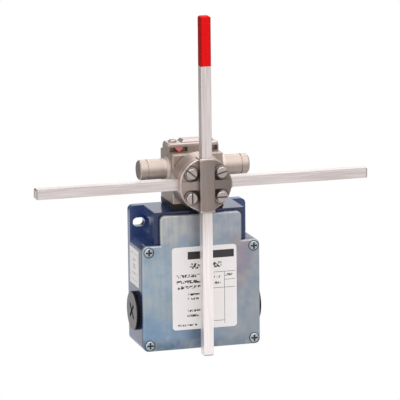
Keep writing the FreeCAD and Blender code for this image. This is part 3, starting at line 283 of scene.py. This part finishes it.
def passivated_zinc():
    """Blue-passivated zinc plate on a pressed lid: yellowish above, blue below, with rainbow clouds and
    painted shade left of the upright rod's foot.
    """
    finish = Finish("passivated_zinc")
    across, _, height = finish.axes()
    cloud = finish.grain(28, detail=2)
    straw = finish.grain(45, detail=1)
    spots = finish.grain(170, detail=2)
    streaks = finish.grain(420, stretch=COVER_STRETCH)
    upper = finish.fade(height.strayed(cloud, 40), *COVER_LOWER_TO_UPPER)
    middle = finish.fade(height.strayed(cloud, 50), *COVER_LOWER_TO_MIDDLE)
    right = finish.fade(across.strayed(cloud, 30), *COVER_LEFT_TO_RIGHT)
    low = finish.blend(right, finish.blend(middle, COVER_LOWER_LEFT, COVER_MIDDLE_LEFT), COVER_LOWER_RIGHT)
    high = finish.blend(right, COVER_UPPER_LEFT, COVER_UPPER_RIGHT)
    colour = finish.blend(upper, low, high)
    band = finish.fade(height, *BAND_LOWER_EDGE) * finish.fade(height, *BAND_UPPER_EDGE) * (1 - right)
    colour = finish.blend(band * 0.35, colour, COVER_BLUE)
    foot = finish.fade(height.strayed(cloud, 8), *COVER_FOOT) * right.between(0.75, 0.35)
    # Painted shade: a patch left of the upright rod's foot, in the same deep blue as the plating tone along
    # the cover's foot.
    rod_shade_patch = finish.fade(across, *ROD_SHADE_LEFT_EDGE) * finish.fade(across, *ROD_SHADE_RIGHT_EDGE)
    rod_shade_patch = rod_shade_patch * finish.fade(height, *ROD_SHADE_UPPER_EDGE) * 0.5
    colour = finish.blend(foot.either(rod_shade_patch), colour, COVER_DEEP_BLUE)
    beside = across.strayed(cloud, 12)
    blush = finish.fade(beside, *BLUSH_LEFT_EDGE) * finish.fade(beside, *BLUSH_RIGHT_EDGE)
    blush = blush * finish.fade(height, *BLUSH_LOWER_EDGE) * finish.fade(height, *BLUSH_UPPER_EDGE)
    colour = finish.blend(blush * 0.9, colour, COVER_BLUSH)
    colour = finish.blend(finish.fade(straw, 0.52, 0.7) * 0.3, colour, COVER_STRAW)
    colour = finish.blend(finish.fade(spots, 0.45, 0.75) * 0.35, colour, COVER_BLUE)
    colour = finish.blend(finish.fade(spots, 0.55, 0.25) * 0.3, colour, COVER_PALE_SPOTS)
    colour = finish.blend(finish.fade(streaks, 0.4, 0.7) * 0.3, colour, COVER_STREAKS)
    return finish.surface(
        Base_Color=colour, Metallic=0.9, Roughness=streaks.between(0.36, 0.52),
        Normal=finish.bump(streaks, 0.03),
    )


BARREL_ROOT = (15.6, 16.2)
# Where the painted highlight at the barrels' roots fades out.
BARREL_ROOT_HIGHLIGHT = (19.6, 17.6)
BARREL_PALE = linear(202, 189, 182)
BARREL_END = linear(114, 106, 103)


def cast_zinc(name, tones, end=None):
    """Satin die-cast zinc, paler on the turned barrels, with a painted highlight at the barrels' roots and
    darker faces past an end in X.
    """
    finish = Finish(name)
    grain = finish.grain(900, detail=4)
    cloud = finish.grain(70)
    beside = finish.axes()[0].size()
    turned = finish.fade(beside, *BARREL_ROOT)
    # Painted highlight: a pale band on the barrels next to their roots.
    painted_highlight = turned * finish.fade(beside, *BARREL_ROOT_HIGHLIGHT)
    colour = finish.mottled(tones, grain * 0.6 + cloud * 0.4)
    colour = finish.blend((turned + painted_highlight) * 0.35, colour, BARREL_PALE)
    # Faces past the end in X are darker.
    if end:
        colour = finish.blend(beside.above(end), colour, BARREL_END)
    return finish.surface(
        Base_Color=colour, Metallic=0.8, Roughness=grain.between(0.35, 0.51) + turned * 0.1,
        Coat_Weight=cloud.between(0.1, 0.3), Coat_Roughness=0.25, Normal=finish.bump(grain, 0.03),
    )


CLAMP_AXIS = 27.6
CLAMP_SCREW_ACROSS = 8.95
CLAMP_SCREW_UP = 7.2
# Across which the clamp turns darker to the right as painted shade.
CLAMP_SHADE_ACROSS = (-14.0, 14.0)
CLAMP_RIM = (14.8, 15.4)
# The painted highlight on the clamp's rim.
CLAMP_RIM_HIGHLIGHT = linear(206, 191, 183)
CLAMP_STRETCH = (1, 1, 0.06)
# The painted shade round the clamp's screws, and in its pockets by the rib.
SCREW_RING = (5.4, 3.8)
SCREW_RING_SHADE = linear(54, 46, 43)
POCKET_REACH = (6.5, 5.0)
POCKET_EDGE = (0.7, 0.2)
POCKET_SHADE = linear(28, 24, 23)
RIB_SHADE_REACH = (11.5, 8.0)


def shade_by_the_rib(finish):
    """How much painted shade lies in the clamp's pockets, on the screws' sides that face the middle."""
    across, _, height = finish.axes()
    return finish.fade(across.distance(height - CLAMP_AXIS), *RIB_SHADE_REACH) * 0.9


def brushed_zinc():
    """The clamp's front, brushed upwards, with painted light: darker to the right as painted shade, a
    painted highlight at the rim, and painted shade by the screws and in the pockets.
    """
    finish = Finish("clamp_zinc")
    lines = finish.grain(900, detail=4, stretch=CLAMP_STRETCH)
    cloud = finish.grain(70)
    across, depth, height = finish.axes()
    up = height - CLAMP_AXIS
    # Painted shade: the clamp turns darker to the right.
    shaded_right = finish.fade(across.strayed(cloud, 16), *CLAMP_SHADE_ACROSS)
    brushed = lines * 0.6 + cloud * 0.4
    polished = finish.mottled("clamp_lit", brushed)
    colour = finish.blend(shaded_right, polished, finish.mottled("clamp_shaded", brushed))
    # Painted shade: a dark ring round each screw head.
    from_screw = (across.size() - CLAMP_SCREW_ACROSS).distance(up.size() - CLAMP_SCREW_UP)
    shade_ring = finish.fade(from_screw.strayed(cloud, 2), *SCREW_RING)
    colour = finish.blend(shade_ring * 0.75, colour, SCREW_RING_SHADE)
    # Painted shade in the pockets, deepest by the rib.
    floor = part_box("clamp_washers")[1].y / MM
    sunk = finish.fade(depth, *(floor - edge for edge in POCKET_EDGE))
    in_pocket = sunk * finish.fade(from_screw, *POCKET_REACH)
    colour = finish.blend(shade_by_the_rib(finish) * in_pocket, colour, POCKET_SHADE)
    # Painted highlight: a pale rim round the clamp's edge, fainter on its shaded side.
    painted_highlight = finish.fade(across.distance(up), *CLAMP_RIM) * (1 - shaded_right * 0.6)
    colour = finish.blend(painted_highlight * 0.7, colour, CLAMP_RIM_HIGHLIGHT)
    return finish.surface(
        Base_Color=colour, Metallic=0.85, Roughness=lines.between(0.3, 0.5),
        Normal=finish.bump(lines, 0.03),
    )


# Heights over which the upright rod turns brighter below, as painted light.
ROD_LIT_BELOW = (15.0, -15.0)
DRAWN_STRETCH = 0.02
END_BAND_NEAR = (0.1, 0.4)
END_BAND_FAR = (1.3, 0.8)
END_DARK = linear(110, 104, 104)


def drawn_steel(node, along, shine):
    """Bright drawn bar with fine lines along an axis and a darker band at its ends, brighter below by a
    share as painted light.
    """
    finish = Finish(f"{node}_steel")
    stretch = [1, 1, 1]
    stretch[along] = DRAWN_STRETCH
    lines = finish.grain(1600, stretch=stretch)
    cloud = finish.grain(30, detail=2)
    streaks = finish.fade(lines, 0.35, 0.65) * 0.6 + cloud * 0.4
    place = finish.axes()
    # Painted light: the bar is brighter below, by the share given.
    lit_below = finish.fade(place[2], *ROD_LIT_BELOW) * shine
    plain_tone = finish.mottled("rod_plain", streaks)
    colour = finish.blend(lit_below, plain_tone, finish.mottled("rod_lit_below", streaks))
    low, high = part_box(node)
    middle = (low[along] + high[along]) / 2 / MM
    half = (high[along] - low[along]) / 2 / MM
    from_end = half - (place[along] - middle).size()
    # Each bar is darker in a narrow band near its ends.
    end_band = finish.fade(from_end, *END_BAND_NEAR) * finish.fade(from_end, *END_BAND_FAR)
    colour = finish.blend(end_band * 0.6, colour, END_DARK)
    return finish.surface(
        Base_Color=colour, Metallic=0.75, Roughness=lines.between(0.34, 0.5),
        Normal=finish.bump(lines, 0.02),
    )


# The painted shade in the screws' slots and at the foot of their heads.
SLOT_DEPTH = (0.25, 0.8)
SLOT_SHADE = linear(30, 28, 28)


def zinc_plate(finish, tones, shade_share=None, shade_colour=SLOT_SHADE):
    """Zinc plate on screws and washers, with as much painted shade as is given."""
    cloud = finish.grain(500)
    colour = finish.mottled(tones, cloud)
    if shade_share:
        colour = finish.blend(shade_share, colour, shade_colour)
    return finish.surface(Base_Color=colour, Metallic=0.9, Roughness=cloud.between(0.26, 0.42))


def plated_screws(name, tones, node, shade_share):
    """Screws whose slots, and the foot of whose heads, are darkened by a share of painted shade."""
    finish = Finish(name)
    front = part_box(node)[0][1] / MM
    # Painted shade in the slots and at the foot of the heads.
    behind = finish.fade(finish.axes()[1] - front, *SLOT_DEPTH)
    return zinc_plate(finish, tones, behind * shade_share)


def shaded_washers():
    """The clamp's washers, which lie in its pockets, with painted shade on their sides towards the middle.
    """
    finish = Finish("washer_plate")
    return zinc_plate(finish, "dull_plate", shade_by_the_rib(finish), POCKET_SHADE)


# The red sleeve's sides, which are a deeper red as painted shade.
SLEEVE_SHADED_SIDES = (2.3, 2.9)
SLEEVE_SIDE_SHADE = linear(165, 5, 7)


def moulded(name, roughness, shine=0.5, sides=None):
    """Moulded plastic or rubber with a fine eroded grain, and painted shade in deep red past the sides in X
    if they are given.
    """
    finish = Finish(name)
    grain = finish.grain(1100)
    colour = finish.mottled(name, grain)
    if sides:
        # Painted shade: the sleeve's sides are a deeper red.
        colour = finish.blend(finish.fade(finish.axes()[0].size(), *sides), colour, SLEEVE_SIDE_SHADE)
    return finish.surface(
        Base_Color=colour, Roughness=grain.between(roughness, roughness + 0.14), Specular_IOR_Level=shine,
        Normal=finish.bump(grain, 0.05),
    )


PLUG_POLISH = (0.6, 0.2)
CROSS_SIDE = (2.0, 1.4)
CROSS_END = (6.2, 5.6)


def plug_plastic():
    """Black plastic plugs: their faces are polished, their rims and the edges of the crossed slots dull."""
    finish = Finish("plug_plastic")
    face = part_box("cable_plug_right")[1][0] / MM
    middle = sum(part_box("cable_plug_right"), Vector()) / 2 / MM
    across, along, height = finish.axes()
    level = along - middle.y
    up = height - middle.z
    rising = finish.fade((level - up).size(), *CROSS_SIDE)
    falling = finish.fade((level + up).size(), *CROSS_SIDE)
    cross = rising.either(falling) * finish.fade(level.distance(up), *CROSS_END)
    polished = finish.fade(across.size(), *(face - edge for edge in PLUG_POLISH)) * (1 - cross)
    grain = finish.grain(900)
    return finish.surface(
        Base_Color=finish.mottled("plug_plastic", grain), Roughness=grain.between(0.24, 0.34),
        Specular_IOR_Level=0.06, Coat_Weight=polished * 0.5, Coat_Roughness=0.1,
        Normal=finish.bump(grain, 0.02),
    )


def bare_metal(name):
    """Inner metal pieces as they come from the machine."""
    finish = Finish(name)
    cloud = finish.grain(400)
    return finish.surface(
        Base_Color=finish.mottled(name, cloud), Metallic=1.0, Roughness=cloud.between(0.28, 0.48),
    )


# Print on the labels, in millimetres from a label's left and upper edges: the left, right, upper and lower
# end of each mark. The rows are broken into strokes that stand for small print and spell nothing.
PLATE_MARKS = [
    (9.5, 37.6, 2.9, 7.5),
    (25, 38.2, 15.9, 16.15), (25, 38.2, 25.4, 25.65), (31.7, 38.2, 20.7, 20.95), (25, 31.7, 45.1, 45.35),
    (31.6, 31.85, 15.9, 47),
]
PLATE_ROWS = [
    (11, 30, 9.9, 13.2),
    (2.7, 17.2, 16.4, 18.2), (2.7, 17.2, 19.9, 21.7), (2.7, 17.2, 23.2, 25),
    (9, 16.7, 27.9, 29.1), (9, 16, 30.5, 31.7), (9, 16.9, 37.6, 38.8), (9, 17.6, 40.5, 41.8),
    (3.2, 15.2, 46.2, 47.3), (32.3, 36.6, 17.4, 18.8), (25.2, 29.4, 18.3, 19.6), (25.2, 29.4, 21.8, 23.1),
]
PLATE_INK = linear(38, 35, 35)
SIDE_MARKS = [(2, 18, 3, 3.3), (2, 18, 18.8, 19.1), (2, 2.3, 3, 19.1), (17.7, 18, 3, 19.1)]
SIDE_ROWS = [(6, 14, 6, 7.4), (7, 13, 9.2, 12.2), (5, 15, 14.4, 15.6)]
SIDE_INK = linear(170, 168, 172)
STROKE_STRETCH = (1, 1, 0.6)


def printed_film(finish, across, down, marks, rows, ink):
    """White label film with dark print, placed by the distances from its left and upper edges."""
    def printed(places):
        shown = 0.0
        for left, right, upper, lower in places:
            inside = across.above(left) * across.below(right) * down.above(upper) * down.below(lower)
            shown = inside.either(shown)
        return shown

    cloud = finish.grain(60, detail=2)
    strokes = finish.grain(1100, detail=1, stretch=STROKE_STRETCH).above(0.5)
    print_shown = printed(marks).either(printed(rows) * strokes)
    colour = finish.blend(print_shown, finish.mottled("label_paper", cloud), ink)
    return finish.surface(Base_Color=colour, Roughness=cloud.between(0.34, 0.4))


def front_label():
    """The plate on the cover."""
    finish = Finish("front_label")
    low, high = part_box("name_plate")
    across, _, height = finish.axes()
    from_left = across - low[0] / MM
    from_top = high[2] / MM - height
    return printed_film(finish, from_left, from_top, PLATE_MARKS, PLATE_ROWS, PLATE_INK)


def end_label():
    """The label on the body's left side, whose left edge is at the back."""
    finish = Finish("end_label")
    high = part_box("side_label")[1]
    _, along, height = finish.axes()
    from_left = high[1] / MM - along
    from_top = high[2] / MM - height
    return printed_film(finish, from_left, from_top, SIDE_MARKS, SIDE_ROWS, SIDE_INK)


def dress(material, *names):
    """Gives a finish to nodes."""
    for name in names:
        NODES[name].data.materials.clear()
        NODES[name].data.materials.append(material)


def both(name):
    """The names of a piece's left and right copies."""
    return [f"{name}_{side}" for side in SIDES]


BARREL_RIM = 0.3


def dress_nodes():
    """Gives every node its finish."""
    dress(navy_paint(), "body_casting")
    dress(passivated_zinc(), "front_cover")
    dress(cast_zinc("head_zinc", "head_zinc"), "head_housing", "lever_hub")
    dress(cast_zinc("cap_zinc", "cap_zinc"), "head_cap")
    barrel_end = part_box("barrel_cap_right")[1][0] / MM
    dress(cast_zinc("barrel_zinc", "head_zinc", end=barrel_end - BARREL_RIM), *both("barrel_cap"))
    dress(brushed_zinc(), "clamp_plate")
    dress(drawn_steel("level_rod", along=0, shine=0.0), "level_rod")
    dress(drawn_steel("upright_rod", along=2, shine=1.0), "upright_rod")
    dress(plated_screws("cover_screw_plate", "bright_plate", "cover_screws", shade_share=0.9), "cover_screws")
    dress(plated_screws("clamp_screw_plate", "dull_plate", "clamp_screws", shade_share=0.7), "clamp_screws")
    dress(zinc_plate(Finish("dull_plate"), "dull_plate"), "cap_screws")
    dress(shaded_washers(), "clamp_washers")
    dress(zinc_plate(Finish("bright_plate"), "bright_plate"), "head_screws", "block_screws", "earth_screw",
          "earth_clamp", "hub_screw")
    dress(bare_metal("ground_steel"), "shaft", "thrust_washer", "detent_cam", *both("detent_shoe"),
          *both("push_rod"))
    dress(bare_metal("contact_brass"), "fixed_contacts", *both("contact_bridge"))
    dress(bare_metal("bearing_bronze"), "front_bush", "rear_bush")
    dress(moulded("cam_plastic", roughness=0.4), "operating_cam_rear", "operating_cam_front",
          *both("contact_carrier"))
    dress(moulded("block_plastic", roughness=0.45), "contact_block")
    dress(moulded("black_plastic", roughness=0.42, shine=0.25), "head_base")
    dress(plug_plastic(), *both("cable_plug"))
    dress(moulded("seal_rubber", roughness=0.6), "cover_gasket", "head_gasket", "shaft_seal",
          *both("plug_seal"))
    dress(moulded("red_plastic", roughness=0.4, shine=0.05, sides=SLEEVE_SHADED_SIDES), "red_sleeve")
    dress(moulded("pointer_red", roughness=0.4), "direction_pointer")
    dress(front_label(), "name_plate")
    dress(end_label(), "side_label")


def add_object(name, shape, material):
    """Turns a bmesh into an object with one finish."""
    mesh = bpy.data.meshes.new(name)
    shape.to_mesh(mesh)
    shape.free()
    mesh.materials.append(material)
    made = bpy.data.objects.new(name, mesh)
    bpy.context.collection.objects.link(made)
    return made


SPRING_MERGE = 0.001 * MM


def add_spring(steel, node):
    """A coil spring in a CAD spring's place, made from the CAD spring's mesh with its loose points merged.
    """
    shape = bmesh.new()
    shape.from_mesh(NODES[node].data)
    bmesh.ops.remove_doubles(shape, verts=shape.verts, dist=SPRING_MERGE)
    for face in shape.faces:
        face.smooth = True
    coil = add_object(f"{node}_coil", shape, steel)
    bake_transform(coil)
    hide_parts(node)


def add_springs():
    """The shoes' springs lie along X with their feet outside, the contacts' stand on their feet."""
    steel = bare_metal("spring_steel")
    for side in SIDES:
        add_spring(steel, f"contact_spring_{side}")
        add_spring(steel, f"detent_spring_{side}")


# The studio is in metres and watts, apart from the card's shade, which is in millimetres as on the pieces.
FLOOR_HEIGHT = -0.35
FLOOR_RADIUS = 0.75
FLOOR_SIDES = 128
FLOOR_SOLID = 0.3


def pale_floor():
    """A pale matt floor that fades into the sky all round."""
    finish = Finish("pale_floor")
    cloud = finish.grain(3, detail=2)
    across, along, _ = finish.axes()
    shown = finish.fade(across.distance(along), FLOOR_RADIUS / MM, FLOOR_SOLID / MM)
    return finish.surface(
        Base_Color=finish.mottled("pale_floor", cloud), Roughness=cloud.between(0.7, 0.8), Alpha=shown,
    )


def add_floor():
    """A plain pale disc below the switch, outside the photograph's frame."""
    shape = bmesh.new()
    bmesh.ops.create_circle(shape, cap_ends=True, segments=FLOOR_SIDES, radius=FLOOR_RADIUS)
    bmesh.ops.translate(shape, verts=shape.verts, vec=(0, 0, FLOOR_HEIGHT))
    floor = add_object("floor", shape, pale_floor())


CARD_MIDDLE = Vector((-0.35, 0.5, 0.215))
CARD_SIZE = 0.64
CARD_SHADE = (-105.0, 10.0)
CARD_PALE = linear(196, 196, 196)
CARD_DARK = linear(120, 120, 120)


def shaded_card():
    """Matt grey card that darkens upwards."""
    finish = Finish("grey_card")
    cloud = finish.grain(20, detail=2)
    colour = finish.blend(finish.fade(finish.axes()[2], *CARD_SHADE), CARD_PALE, CARD_DARK)
    return finish.surface(Base_Color=colour, Roughness=cloud.between(0.8, 0.9))


def add_card():
    """A grey card behind the switch to the left that only reflections see. It darkens upper left faces."""
    shape = bmesh.new()
    bmesh.ops.create_grid(shape, x_segments=1, y_segments=1, size=CARD_SIZE / 2)
    bmesh.ops.rotate(shape, verts=shape.verts, matrix=Matrix.Rotation(math.pi / 2, 3, "X"))
    bmesh.ops.translate(shape, verts=shape.verts, vec=CARD_MIDDLE)
    card = add_object("grey_card", shape, shaded_card())
    card.visible_camera = False
    card.visible_diffuse = False
    card.visible_shadow = False
    card.visible_transmission = False


def add_lamp(name, place, size, power):
    """A soft square lamp that faces the middle of the switch."""
    data = bpy.data.lights.new(name, "AREA")
    data.energy = power
    data.size = size
    lamp = bpy.data.objects.new(name, data)
    aim = CAMERA_TARGET - Vector(place)
    lamp.matrix_world = Matrix.Translation(place) @ aim.to_track_quat("-Z", "Y").to_matrix().to_4x4()
    bpy.context.collection.objects.link(lamp)


WHITE = (1, 1, 1, 1)
WORLD_LIGHT = 0.4


def set_world():
    """An even pale sky, which is white where it is seen straight or in a reflection."""
    world = bpy.data.worlds.new("studio")
    bpy.context.scene.world = world
    sky = Finish("studio", world)
    path = sky.node("ShaderNodeLightPath").socket.node
    seen = Wire(sky, path.outputs["Is Camera Ray"])
    for ray in ("Is Glossy Ray", "Is Transmission Ray"):
        seen = seen.either(Wire(sky, path.outputs[ray]))
    strength = seen.between(WORLD_LIGHT, 1.0)
    light = sky.node("ShaderNodeBackground", None, {"Color": WHITE, "Strength": strength})
    sky.node("ShaderNodeOutputWorld", None, {"Surface": light})


def set_studio():
    """The sky, the floor, the card and three lamps."""
    bpy.context.scene.view_settings.view_transform = "Standard"
    set_world()
    add_floor()
    add_card()
    add_lamp("top_lamp", place=(0.2, -0.8, 1.3), size=2.6, power=36)
    add_lamp("left_lamp", place=(-2.0, -0.9, 0.4), size=2.0, power=9)
    add_lamp("back_lamp", place=(0.5, 1.2, 1.4), size=1.2, power=10)


set_camera()
set_studio()
dress_nodes()
add_springs()
